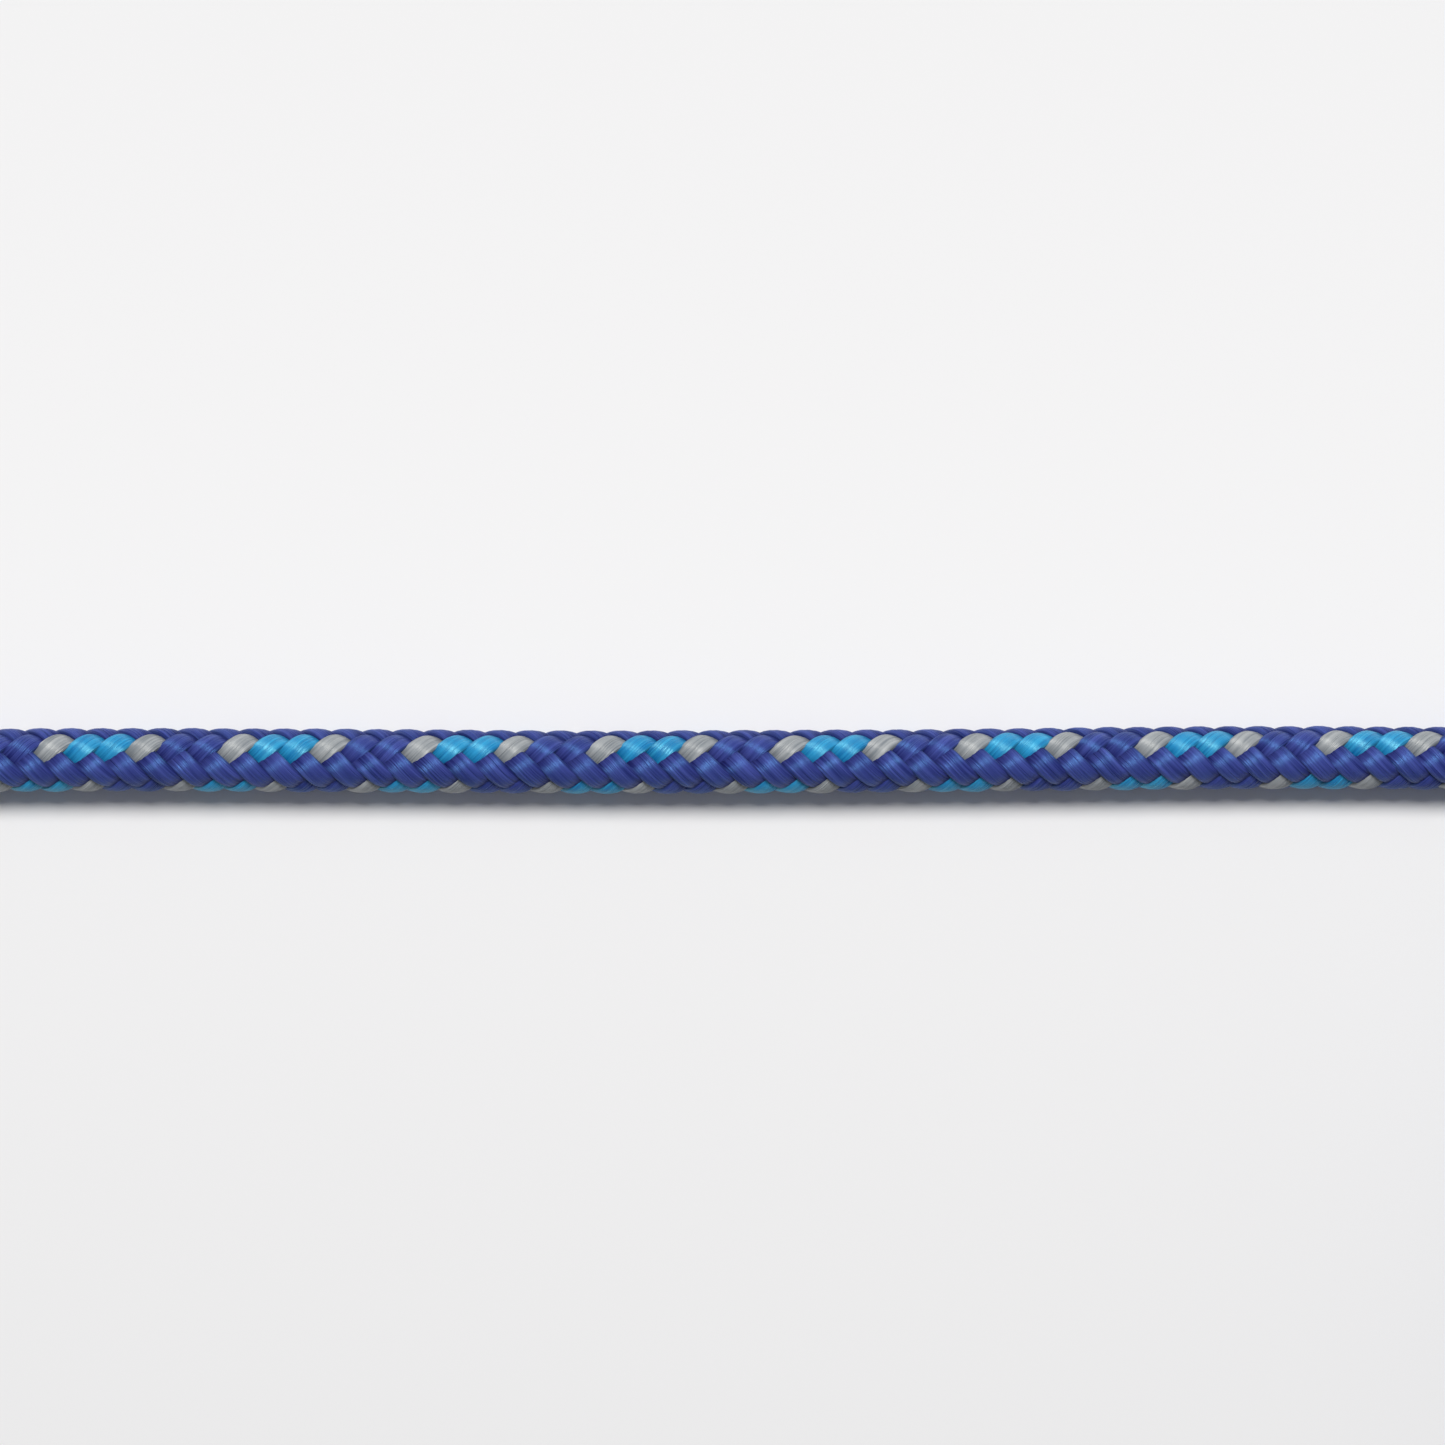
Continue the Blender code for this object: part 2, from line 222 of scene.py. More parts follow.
# The picture: a square of floor seen from straight above.
VIEW_WIDTH = 0.2145
VIEW_FROM_RUN_START = 0.139
VIEW_ABOVE_AXIS = 0.00606
CAMERA_HEIGHT = 1.3
SENSOR_WIDTH = 36.0
FLOOR_REACH = 1.5
FLOOR_BELOW_ROPE = 0.0001

# The light.
LAMP_COLOUR = (1.0, 0.983, 0.957)
KEY_DISTANCE = 3.0
KEY_ELEVATION = math.radians(63.5)
KEY_WIDTH = 2.2
KEY_SIZE = 1.1
KEY_ENERGY = 92
SKY_COLOUR = "#F2F7FF"
SKY_STRENGTH = 0.235
SKY_TOWARDS_LAMPS = 0.10


def srgb(hex_colour):
    """A hex sRGB colour as the linear values that shaders take, by the sRGB standard's own curve."""
    shares = [int(hex_colour[i:i + 2], 16) / 255 for i in (1, 3, 5)]
    linear = [v / 12.92 if v <= 0.04045 else ((v + 0.055) / 1.055) ** 2.4 for v in shares]
    return (*linear, 1.0)


# The route.


def smooth(share):
    """0 before 0 and 1 after 1, and between them three times the square less twice the cube."""
    share = np.clip(share, 0, 1)
    return share * share * (3 - 2 * share)


def loops_inward(turn):
    """How many steps the rope lies inside the first loop's start.

    The loops done, folded back and forth between none and a whole layer's, so that the
    spiral goes in over one layer and out over the next.
    """
    span = LOOPS_PER_LAYER
    return np.where(turn < 0, turn, np.abs((turn + span) % (2 * span) - span))


def layer_height(turn):
    """The height of the rope's centre: the first layer's, and a smooth step up for each layer begun.

    Each step is climbed along the run where the spiral reverses.
    """
    height = np.full(turn.shape, FIRST_LAYER_HEIGHT)
    for layer in range(1, LAYERS):
        start = layer * LOOPS_PER_LAYER - HALF_RUN_TURNS
        height += LAYER_STEP * smooth((turn - start) / (2 * HALF_RUN_TURNS))
    return height


def hank_points(turn, half_run):
    """The rope's centre after so many loops, from the hank's own middle on the ground.

    A loop starts at the waist on the +Y side and goes clockwise, seen from above: along
    a run that is drawn in and lifted at the waist, round a half circle, and back the same
    way. In a fold the point is the fold's radius times the sine and cosine of how far
    round it is. On a run it is that radius less a smooth dip towards the waist.
    """
    half_turns = np.round(turn * 2)
    side = np.where(half_turns % 2 == 0, 1.0, -1.0)
    step = (turn * 2 - half_turns) * POINTS_PER_LOOP / 2
    radius = OUTER_FOLD_RADIUS - LOOP_STEP * loops_inward(turn)
    in_fold = np.abs(step) > RUN_STEPS / 2
    angle = math.pi * (np.abs(step) - RUN_STEPS / 2) / FOLD_STEPS
    slant = (np.abs(step) - 0.5) / ((RUN_STEPS - 1) / 2)
    slant_x = WAIST_LENGTH / 2 + (half_run - WAIST_LENGTH / 2) * slant
    run_x = np.where(slant < 0, WAIST_LENGTH * np.abs(step), slant_x)
    waist = 1 - smooth(slant)
    x = np.where(in_fold, half_run + radius * np.sin(angle), run_x)
    y = np.where(in_fold, radius * np.cos(angle), radius - WAIST_DRAWN_IN * waist)
    z = layer_height(turn) + np.where(in_fold, 0, WAIST_LIFT * waist)
    return np.stack([x * np.sign(step * side), y * side, z], axis=1)


def hank_turns(points_per_loop):
    """The loops done at each point of the hank, evenly spaced and counted back from its last one."""
    count = round((LOOPS + HALF_RUN_TURNS) * points_per_loop)
    return LOOPS - np.arange(count, -1, -1) / points_per_loop


def travelled(points):
    """How far along the line each of its points lies: the running sum of the steps between them."""
    steps = np.linalg.norm(np.diff(points, axis=0), axis=1)
    return np.concatenate([[0.0], np.cumsum(steps)])


def along_line(at, far, points):
    """The values at those distances, an array of any shape, straight between the line's points."""
    return np.stack([np.interp(at, far, column) for column in points.T], axis=-1)


def evenly(points, count):
    """The same line with so many evenly spaced points."""
    far = travelled(points)
    return along_line(np.linspace(0, far[-1], count), far, points)


def half_run_length():
    """Half the length of the hank's straight runs, so that the hank takes what the rest leaves of the rope.

    The hank's length grows with it, so it is found by halving the range that it lies in.
    """
    wanted = ROPE_LENGTH - FIRST_FOLD_X - TAIL_LENGTH - 2 * (TIP_LENGTH + FIT_GAP)
    turns = hank_turns(MEASURING_POINTS_PER_STEP * POINTS_PER_LOOP)
    low, high = WAIST_LENGTH, 10 * OUTER_FOLD_RADIUS
    for _ in range(HALVINGS):
        middle = (low + high) / 2
        if travelled(hank_points(turns, middle))[-1] < wanted:
            low = middle
        else:
            high = middle
    return middle


def gently(values, sigma):
    """Rows of evenly spaced values, each the mean of its neighbours under a bell curve of that width.

    Both ends are continued straight first, so that they stay in place.
    """
    reach = round(3 * sigma / LINE_STEP)
    weights = np.exp(-0.5 * (np.arange(-reach, reach + 1) * LINE_STEP / sigma) ** 2)
    weights /= weights.sum()
    before = values[0] + (values[0] - values[1]) * np.arange(reach, 0, -1)[:, None]
    beyond = values[-1] + (values[-1] - values[-2]) * np.arange(1, reach + 1)[:, None]
    padded = np.concatenate([before, values, beyond])
    return np.stack([np.convolve(column, weights, "valid") for column in padded.T], axis=1)


def run_start():
    """The point on the ground under the start of the straight run's axis."""
    low, high = (np.array(corner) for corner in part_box("run_sheath"))
    return np.array([low[0], (low[1] + high[1]) / 2, 0])


def hank_middle():
    """The point on the ground under the hank's middle: as far past its first fold's start as half a run."""
    first = hank_points(np.array([-HALF_RUN_TURNS]), HALF_RUN)[0]
    return run_start() + [FIRST_FOLD_X + HALF_RUN, -first[1], 0]


def rope_line():
    """The centre line of the whole rope in the CAD's frame, evenly spaced, with its corners smoothed.

    The straight run with its sway and its drop into the hank, then the hank's loops, then
    the tail, which goes straight on from the last loop.
    """
    run_x = np.arange(0, FIRST_FOLD_X, LINE_STEP)
    drop = smooth((run_x - RUN_LENGTH - ROPE_DIAMETER) / (LEAD_IN_LENGTH - ROPE_DIAMETER))
    sway_x, sway_y = np.array(RUN_SWAY).T
    sway = gently(np.interp(run_x, sway_x, sway_y)[:, None], SWAY_SMOOTHING)[:, 0]
    run = run_start() + np.stack([run_x, sway, ROPE_RADIUS - CUT_FLAT * drop], axis=1)
    loops = HANK_MIDDLE + hank_points(hank_turns(LINE_POINTS_PER_STEP * POINTS_PER_LOOP), HALF_RUN)
    last, after = hank_points(LOOPS + np.array([0, 1 / POINTS_PER_LOOP]), HALF_RUN)
    along = (after - last) * [1, 1, 0]
    along /= np.linalg.norm(along)
    tail_x = np.arange(LINE_STEP, TAIL_LENGTH, LINE_STEP)
    tail = loops[-1] + tail_x[:, None] * along

    points = np.concatenate([run, loops, tail])
    count = round(travelled(points)[-1] / LINE_STEP)
    return gently(evenly(points, count), LINE_SMOOTHING)


HALF_RUN = half_run_length()
HANK_MIDDLE = hank_middle()
LINE = rope_line()
LINE_AT = travelled(LINE)
LINE_SLOPES = np.gradient(LINE, LINE_AT, axis=0)
LENGTH = LINE_AT[-1]


def line_frame(at):
    """The centre line's points at those distances, with its upward and sideways directions across it.

    Sideways is the line's direction crossed with straight up, and upward is sideways
    crossed with the line's direction, both made one long.
    """
    points = along_line(at, LINE_AT, LINE)
    along = along_line(at, LINE_AT, LINE_SLOPES)
    side = np.cross(along, [0.0, 0.0, 1.0])
    side /= np.linalg.norm(side, axis=-1)[..., None]
    up = np.cross(side, along)
    up /= np.linalg.norm(up, axis=-1)[..., None]
    return points, up, side


def outer_radius(at):
    """The rope's radius there: a smooth rise from the drawn-in radius under either sleeve to the full one."""
    from_end = np.minimum(at, LENGTH - at)
    return END_RADIUS + (ROPE_RADIUS - END_RADIUS) * smooth((from_end - END_LENGTH) / TAPER_LENGTH)


def on_rope(at, angle, radius):
    """Points off the centre line, at an angle from straight up, with the rope pressed flat where it rests.

    A point is the centre, and the radius times the cosine of the angle upward and its
    sine sideways. Where the centre is lower than the rope's radius, what lies below the
    firm share of that radius is squeezed by a hyperbolic tangent whose limit is the ground.
    """
    at, angle, radius = np.broadcast_arrays(at, angle, radius)
    points, up, side = line_frame(at)
    angle, radius = angle[..., None], radius[..., None]
    placed = points + radius * (np.cos(angle) * up + np.sin(angle) * side)
    height = points[..., 2]
    firm = FIRM_SHARE * ROPE_RADIUS
    depth = height - placed[..., 2]
    squeeze = np.maximum(height - firm, 1e-5)
    pressed = firm + squeeze * np.tanh((depth - firm) / squeeze)
    resting = (height < ROPE_RADIUS - 1e-6) & (depth > firm)
    placed[..., 2] = np.where(resting, height - pressed, placed[..., 2])
    return placed


# Meshes.


def mesh_piece(name, points, faces, material, uv=None):
    """A piece from arrays: points, faces grouped by their number of corners, and UVs for each point."""
    mesh = bpy.data.meshes.new(name)
    corners = np.concatenate([group.reshape(-1) for group in faces]).astype(np.int32)
    counts = np.concatenate([np.full(len(group), group.shape[1]) for group in faces])
    starts = np.concatenate([[0], np.cumsum(counts)[:-1]]).astype(np.int32)
    mesh.vertices.add(len(points))
    mesh.vertices.foreach_set("co", np.asarray(points, np.float32).reshape(-1))
    mesh.loops.add(len(corners))
    mesh.loops.foreach_set("vertex_index", corners)
    mesh.polygons.add(len(starts))
    mesh.polygons.foreach_set("loop_start", starts)
    mesh.polygons.foreach_set("use_smooth", np.full(len(starts), True))
    if uv is not None:
        layer = mesh.uv_layers.new(name="UVMap")
        layer.data.foreach_set("uv", np.asarray(uv, np.float32)[corners].reshape(-1))
    mesh.update(calc_edges=True)
    mesh.validate()
    mesh.materials.append(material)
    piece = bpy.data.objects.new(name, mesh)
    bpy.context.scene.collection.objects.link(piece)
    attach(piece, "root")
    return piece


def tube_faces(rings, sides, first=0):
    """Quads over closed rings: each joins a point and the next in its ring to the same two a ring on."""
    ring, side = np.meshgrid(np.arange(rings - 1), np.arange(sides), indexing="ij")
    here = first + ring * sides + side
    beside = first + ring * sides + (side + 1) % sides
    return np.stack([here, beside, beside + sides, here + sides], axis=2).reshape(-1, 4)


def ring_face(first, sides, turned=False):
    """One face that closes a ring, with its points in their own order or turned round."""
    ring = first + np.arange(sides)
    return ring[None, ::-1] if turned else ring[None, :]


def joining_faces(fine_first, fine_sides, coarse_first, coarse_sides):
    """Triangles from a fine ring to a coarse one, with a whole number of fine points to a coarse one.

    The fine edges before the middle of each share meet the share's own coarse point and
    those after it the next one, and one triangle on the coarse edge fills what is left.
    """
    share = fine_sides // coarse_sides
    middle = share // 2
    corner = np.arange(coarse_sides)
    here = coarse_first + corner
    beside = coarse_first + (corner + 1) % coarse_sides
    fine = fine_first + (corner[:, None] * share + np.arange(share + 1)) % fine_sides
    nearest = np.where(np.arange(share) < middle, here[:, None], beside[:, None])
    fans = np.stack([fine[:, :-1], fine[:, 1:], nearest], axis=2).reshape(-1, 3)
    return np.concatenate([fans, np.stack([fine[:, middle], beside, here], axis=1)])


# The braid.


def section(sides):
    """A strand's cross-section: across it, outward, and edge to edge from -1 to 1.

    A flattened and rounded bar: the cosine and sine of an even turn, each to a power
    below one, less a bow that grows with the square of the share across.
    """
    angle = 2 * math.pi * np.arange(sides) / sides
    power = 2 / SECTION_SQUARENESS
    across = np.sign(np.cos(angle)) * np.abs(np.cos(angle)) ** power
    outward = np.sign(np.sin(angle)) * np.abs(np.sin(angle)) ** power
    bow = SECTION_BOW * STRAND_THICKNESS * across**2
    return across * STRAND_WIDTH / 2, outward * STRAND_THICKNESS / 2 - bow, across


def strand_rings(at, hand, index, sides):
    """Rings of points round one strand, and their UVs.

    A strand winds evenly round the rope, one way or the other. Its distance from the
    axis swings with the cosine of three times its angle, made squarer by a hyperbolic
    tangent, so that it lies over two strands of the other hand and then under two. Sines
    of its distance along the rope make it wander. Its UVs are the share across it, and
    the metres along the rope from where it lies highest.
    """
    view = VIEW_FROM_RUN_START
    round_per_metre = 2 * math.pi / HELIX_PITCH
    rib = RIB_ANGLE_AT_VIEW + RIB_DRIFT_PER_METRE * (at - view)
    tighter = TIGHTER_BY * np.maximum(0, at - view - TIGHTER_BEYOND_VIEW)
    wound = 2 * math.pi * (at - view + tighter - FIRST_TRACER_FROM_VIEW) / HELIX_PITCH
    spacing = 2 * math.pi / STRANDS_EACH_WAY
    if hand > 0:
        in_rib = spacing * index - wound
        over_phase = -in_rib
    else:
        in_rib = spacing * (index + 0.5) + wound + round_per_metre * LEFT_STRANDS_SHIFT
        over_phase = in_rib + spacing

    swing = WAVE_SQUARENESS * (np.cos(STRANDS_EACH_WAY / 2 * in_rib) - LEFT_STRANDS_PROUDER)
    wave = np.tanh(swing) / math.tanh(WAVE_SQUARENESS)
    full = ROPE_RADIUS - STRAND_THICKNESS / 2 * (1 + FULLER_WHERE_OVER) - WAVE_HEIGHT
    strand_number = index + STRANDS_EACH_WAY * (hand > 0)
    own_phase = LOOSE_PHASE_STEP * strand_number
    waves = [2 * math.pi * at / length for length in LOOSE_OVER]
    loose = sum(np.sin(wave_at + own_phase * (i + 1)) for i, wave_at in enumerate(waves))
    angle = rib + in_rib + LOOSE_BY * loose / full
    radius = full * outer_radius(at) / ROPE_RADIUS + hand * WAVE_HEIGHT * wave
    radius = radius + LOOSE_BY * RISES_WHERE_LOOSE * np.sin(waves[1] + own_phase)

    slant = math.atan(round_per_metre * full)
    across, outward, edge = section(sides)
    fullness = 1 + FULLER_WHERE_OVER * hand * wave
    swell = np.where(outward > 0, fullness[:, None], 1.0)
    ring_at = np.clip(at[:, None] + across * math.sin(slant), 0, LENGTH)
    turned = angle[:, None] + hand * across * math.cos(slant) / radius[:, None]
    rings = on_rope(ring_at, turned, radius[:, None] + outward * swell)
    waves_woven = over_phase / (2 * math.pi) + 2 * WAVES_BETWEEN_STRANDS / STRANDS_EACH_WAY * strand_number
    uv = np.stack(np.broadcast_arrays(edge[None, :], waves_woven[:, None] * HELIX_PITCH), axis=2)
    return rings, uv


def strand(name, hand, index, material):
    """One strand along the whole rope: finely cut rings as far as the camera sees, coarse ones in the hank.

    A face closes each end.
    """
    fine_end = VIEW_FROM_RUN_START + VIEW_WIDTH / 2 + HELIX_PITCH / 2
    fine_at = np.arange(0, fine_end, HELIX_PITCH / FINE_RINGS_PER_PITCH)
    coarse_step = HELIX_PITCH / COARSE_RINGS_PER_PITCH
    coarse_count = round((LENGTH - fine_at[-1]) / coarse_step)
    coarse_at = np.linspace(fine_at[-1], LENGTH, coarse_count + 1)[1:]
    fine, fine_uv = strand_rings(fine_at, hand, index, FINE_SIDES)
    coarse, coarse_uv = strand_rings(coarse_at, hand, index, COARSE_SIDES)
    fine_last = (len(fine_at) - 1) * FINE_SIDES
    coarse_first = fine_last + FINE_SIDES
    coarse_last = coarse_first + (len(coarse_at) - 1) * COARSE_SIDES
    faces = [
        tube_faces(len(fine_at), FINE_SIDES),
        joining_faces(fine_last, FINE_SIDES, coarse_first, COARSE_SIDES),
        tube_faces(len(coarse_at), COARSE_SIDES, coarse_first),
        ring_face(0, FINE_SIDES, turned=True),
        ring_face(coarse_last, COARSE_SIDES),
    ]
    if hand > 0:
        faces = [np.roll(group[:, ::-1], 1, axis=1) for group in faces]
    points = np.concatenate([fine.reshape(-1, 3), coarse.reshape(-1, 3)])
    uv = np.concatenate([fine_uv.reshape(-1, 2), coarse_uv.reshape(-1, 2)])
    return mesh_piece(name, points, faces, material, uv)


def lining(material):
    """The closed tube under the braid, coloured near-black as painted shade between its strands: circles
    along the rope's line.
    """
    sides = LINING_SIDES
    at = np.linspace(0, LENGTH, round(LENGTH / LINING_RING_SPACING))
    angle = 2 * math.pi * np.arange(sides) / sides
    radius = LINING_RADIUS * outer_radius(at) / ROPE_RADIUS
    rings = on_rope(at[:, None], angle, radius[:, None])
    faces = [
        tube_faces(len(at), sides),
        ring_face(0, sides, turned=True),
        ring_face((len(at) - 1) * sides, sides),
    ]
    path = line_frame(at)[0]
    return mesh_piece("rope_lining", rings.reshape(-1, 3), faces, material), path


# The ends and the tie.


def end_sleeve(name, starts_at, material):
    """A thin tube shrunk on the braid: it takes up a little of its relief and rolls in at both edges.

    Its radius is the rope's, less a quarter circle at each edge, plus the mean of the
    cosines of both hands' windings. A plain inner tube closes it.
    """
    sides, steps = SLEEVE_SIDES, SLEEVE_STEPS
    from_start = np.linspace(0, 1, steps + 1) * SLEEVE_LENGTH
    from_edge = np.minimum(from_start, SLEEVE_LENGTH - from_start)
    rolled = 1 - np.clip(from_edge / SLEEVE_EDGE_ROLL, 0, 1)
    edge = np.sqrt(np.clip(1 - rolled**2, 0, 1))[:, None]
    at = (starts_at + from_start)[:, None]
    angle = 2 * math.pi * np.arange(sides) / sides
    wound = 2 * math.pi * at / HELIX_PITCH
    relief = np.cos(STRANDS_EACH_WAY * (angle - wound)) + np.cos(STRANDS_EACH_WAY * (angle + wound))
    dimple = SLEEVE_RELIEF * relief / 2 * edge
    outer = on_rope(at, angle, ROPE_RADIUS - SLEEVE_WALL * (1 - edge) - SLEEVE_RELIEF + dimple)
    inner = on_rope(at[[0, -1]], angle, ROPE_RADIUS - SLEEVE_WALL)
    rings = np.concatenate([outer, inner[1:], inner[:1]])
    count = len(rings) * sides
    faces = tube_faces(len(rings) + 1, sides) % count
    uv = np.empty((len(rings), sides, 2))
    uv[..., 0] = angle * ROPE_RADIUS
    uv[:steps + 1, :, 1] = at
    uv[steps + 1:, :, 1] = at[0]
    return mesh_piece(name, rings.reshape(-1, 3), [faces], material, uv.reshape(-1, 2))


def melted_tip(name, starts_at, towards, material, seed):
    """The rope's end melted into a hard cap: a low dome, made uneven by a few random waves round it.

    From rim to top its radius is a low power of a quarter turn's cosine and its rise
    follows that turn's sine. The waves round it fade out towards the top.
    """
    sides = TIP_SIDES
    quarter = np.linspace(0, 1, TIP_STEPS + 1)[:, None] * math.pi / 2
    points, up, side = line_frame(np.array([starts_at, starts_at - towards * LINE_STEP]))
    along = points[0] - points[1]
    along /= np.linalg.norm(along)
    rng = np.random.default_rng(seed)
    amount, phase = (rng.uniform(0.4, 1, (TIP_UNEVEN_WAVES, 2)) * [1, 2 * math.pi]).T
    angle = 2 * math.pi * np.arange(sides) / sides
    waves_round = np.arange(TIP_UNEVEN_WAVES) + 2
    uneven = (amount * np.cos(waves_round * angle[:, None] + phase)).sum(axis=1) / TIP_UNEVEN_WAVES
    fading = uneven * np.cos(quarter)
    radius = TIP_RADIUS * np.cos(quarter) ** TIP_ROUNDNESS * (1 + TIP_RIM_UNEVEN * fading)
    height = FIT_GAP + TIP_LENGTH * (TIP_FOOT_SHARE + TIP_DOME_SHARE * np.sin(quarter))
    rise = height + TIP_TOP_UNEVEN * fading * np.sin(2 * quarter)
    outward = np.cos(angle)[:, None] * up[0] + np.sin(angle)[:, None] * side[0]
    outer = points[0] + along * rise[..., None] + radius[..., None] * outward
    foot = outer[0] - along * (TIP_LENGTH * TIP_FOOT_SHARE + FIT_GAP + TIP_LAP)
    rings = np.concatenate([foot[None], outer[:-1]])
    top = outer[-1].mean(axis=0)
    count = len(rings) * sides
    last = count - sides + np.arange(sides)
    cap = np.stack([last, np.roll(last, -1), np.full(sides, count)], axis=1)
    faces = [tube_faces(len(rings), sides), cap, ring_face(0, sides, turned=True)]
    if towards < 0:
        faces = [group[:, ::-1] for group in faces]
    points = np.concatenate([rings.reshape(-1, 3), top[None]])
    uv = np.stack([points[:, 1] + points[:, 0], points[:, 2]], axis=1)
    return mesh_piece(name, points, faces, material, uv)


def tie_outline(grown):
    """The tie's closed path round the hank's waist as (sideways, up), clockwise from the middle of the top.

    A rectangle with quarter circles at its corners, grown outwards by so much.
    """
    drift = LOOP_STEP / (2 * POINTS_PER_LOOP)
    right = OUTER_FOLD_RADIUS - WAIST_DRAWN_IN + ROPE_RADIUS + FIT_GAP + drift
    left = LOOP_STEP / 2 - right
    low = FIRST_LAYER_HEIGHT + WAIST_LIFT - ROPE_RADIUS - FIT_GAP
    high = low + (LAYERS - 1) * LAYER_STEP + ROPE_DIAMETER + 2 * FIT_GAP
    corner = ROPE_RADIUS + grown
    left, right, low, high = left - grown, right + grown, low - grown, high + grown
    top = np.array([[(left + right) / 2, high]])
    x = np.array([right - corner, right - corner, left + corner, left + corner])
    y = np.array([high - corner, low + corner, low + corner, high - corner])
    starts = np.array([90, 0, -90, 180])
    angle = np.radians(starts[:, None] - 90 * np.arange(TIE_CORNER_STEPS + 1) / TIE_CORNER_STEPS)
    arcs = np.stack([x[:, None] + corner * np.cos(angle), y[:, None] + corner * np.sin(angle)], axis=2)
    return np.concatenate([top, arcs.reshape(-1, 2), top])


def strap_section():
    """The strap's section as (across, outward): two half circles at its edges, with flats between them."""
    half_thick = TIE_THICKNESS / 2 - TIE_EDGE_GAP
    flat = TIE_WIDTH / 2 - half_thick
    turn = np.linspace(-math.pi / 2, math.pi / 2, TIE_EDGE_STEPS + 1)
    across_top = flat * (1 - 2 * np.arange(1, TIE_ACROSS_STEPS) / TIE_ACROSS_STEPS)
    across = np.concatenate([flat + half_thick * np.cos(turn), across_top])
    outward = np.concatenate([half_thick * np.sin(turn), np.full(len(across_top), half_thick)])
    return np.concatenate([across, -across]), np.concatenate([outward, -outward])


def strap(material):
    """A flat woven strap round the waist. Its end goes on over the start and is stitched down.

    The strap is its section carried along the waist's outline, and raised smoothly by its
    own thickness where it passes over itself.
    """
    line = tie_outline(TIE_THICKNESS / 2)
    line = evenly(line, round(travelled(line)[-1] / TIE_STEP) + 1)
    far = travelled(line)
    around = far[-1]
    lap = TIE_LAP_LENGTH / 2
    reach = np.arange(-lap, around + lap + TIE_STEP * 0.4, TIE_STEP)
    path = along_line(reach % around, far, line)
    lifted = TIE_THICKNESS * smooth((reach - (around - lap - TIE_FADE_LENGTH)) / TIE_FADE_LENGTH)
    path[:, 1] += lifted
    slopes = np.gradient(path, axis=0)
    slopes /= np.linalg.norm(slopes, axis=1)[:, None]
    across, outward = strap_section()
    sides = len(across)
    rings = np.empty((len(path), sides, 3))
    rings[..., 0] = HANK_MIDDLE[0] + across
    rings[..., 1] = HANK_MIDDLE[1] + path[:, :1] - slopes[:, 1:] * outward
    rings[..., 2] = path[:, 1:] + slopes[:, :1] * outward
    faces = [
        tube_faces(len(path), sides)[:, ::-1],
        ring_face(0, sides),
        ring_face((len(path) - 1) * sides, sides, turned=True),
    ]
    uv = np.stack(np.broadcast_arrays(across[None, :], reach[:, None]), axis=2)
    return mesh_piece("woven_strap", rings.reshape(-1, 3), faces, material, uv.reshape(-1, 2))


def stitch_ends():
    """Where each stitch starts and ends: even shares of a box seam and of its two diagonals."""
    lap, inset = TIE_LAP_LENGTH / 2 - SEAM_INSET, TIE_WIDTH / 2 - SEAM_INSET
    box = [(-inset, -lap), (inset, -lap), (inset, lap), (-inset, lap), (-inset, -lap)]
    seams = [*zip(box[:-1], box[1:]), (box[0], box[2]), (box[3], box[1])]
    ends = []
    for start, end in np.array(seams):
        count = round(float(np.linalg.norm(end - start)) / STITCH_LENGTH)
        shares = (np.arange(count)[:, None] + 0.5 + np.array([-0.5, 0.5]) * STITCH_SHARE) / count
        ends.append(start + (end - start) * shares[..., None])
    return np.concatenate(ends).transpose(1, 0, 2)


def stitches(material):
    """A box seam with a cross in it over the strap's lap: short bent threads, dipped into it at both ends.

    Each is a circle carried along a line that rises by the root of half a wave's sine.
    """
    sides, steps = STITCH_SIDES, STITCH_STEPS
    top = tie_outline(TIE_THICKNESS)[0]
    first, last = stitch_ends()
    along = (last - first) / np.linalg.norm(last - first, axis=1)[:, None]
    share = np.linspace(0, 1, steps + 1)
    place = first[:, None] + (last - first)[:, None] * share[None, :, None]
    arch = np.sqrt(np.abs(np.sin(math.pi * share)))
    rise = top[1] + TIE_THICKNESS + STITCH_RADIUS * (STITCH_ARCH * arch - STITCH_DEPTH)
    angle = 2 * math.pi * np.arange(sides) / sides
    across = STITCH_RADIUS * np.cos(angle)
    points = np.empty((len(first), steps + 1, sides, 3))
    points[..., 0] = HANK_MIDDLE[0] + place[..., 0, None] - along[:, 1, None, None] * across
    points[..., 1] = HANK_MIDDLE[1] + top[0] + place[..., 1, None] + along[:, 0, None, None] * across
    points[..., 2] = rise[None, :, None] + STITCH_RADIUS * np.sin(angle)
    starts = np.arange(len(first))[:, None] * (steps + 1) * sides
    faces = [
        (starts[..., None] + tube_faces(steps + 1, sides)).reshape(-1, 4),
        starts + ring_face(0, sides, turned=True),
        starts + ring_face(steps * sides, sides),
    ]
    return mesh_piece("strap_stitches", points.reshape(-1, 3), faces, material)


# Materials.


def shader_of(name):
    """A new material and its node tree and Principled shader."""
    made = bpy.data.materials.new(name)
    made.use_nodes = True
    return made, made.node_tree, made.node_tree.nodes["Principled BSDF"]


def add_node(tree, kind, inputs=None, **settings):
    """Adds a node, sets its properties, and links or sets its inputs."""
    node = tree.nodes.new(kind)
    for key, value in settings.items():
        setattr(node, key, value)
    for key, value in (inputs or {}).items():
        if isinstance(value, bpy.types.NodeSocket):
            tree.links.new(value, node.inputs[key])
        else:
            node.inputs[key].default_value = value
    return node


def across_and_along(size):
    """A Mapping node's scale for a pattern of that size: UVs are half widths across and metres along."""
    return (STRAND_WIDTH / 2 / size[0], 1 / size[1], 1.0)


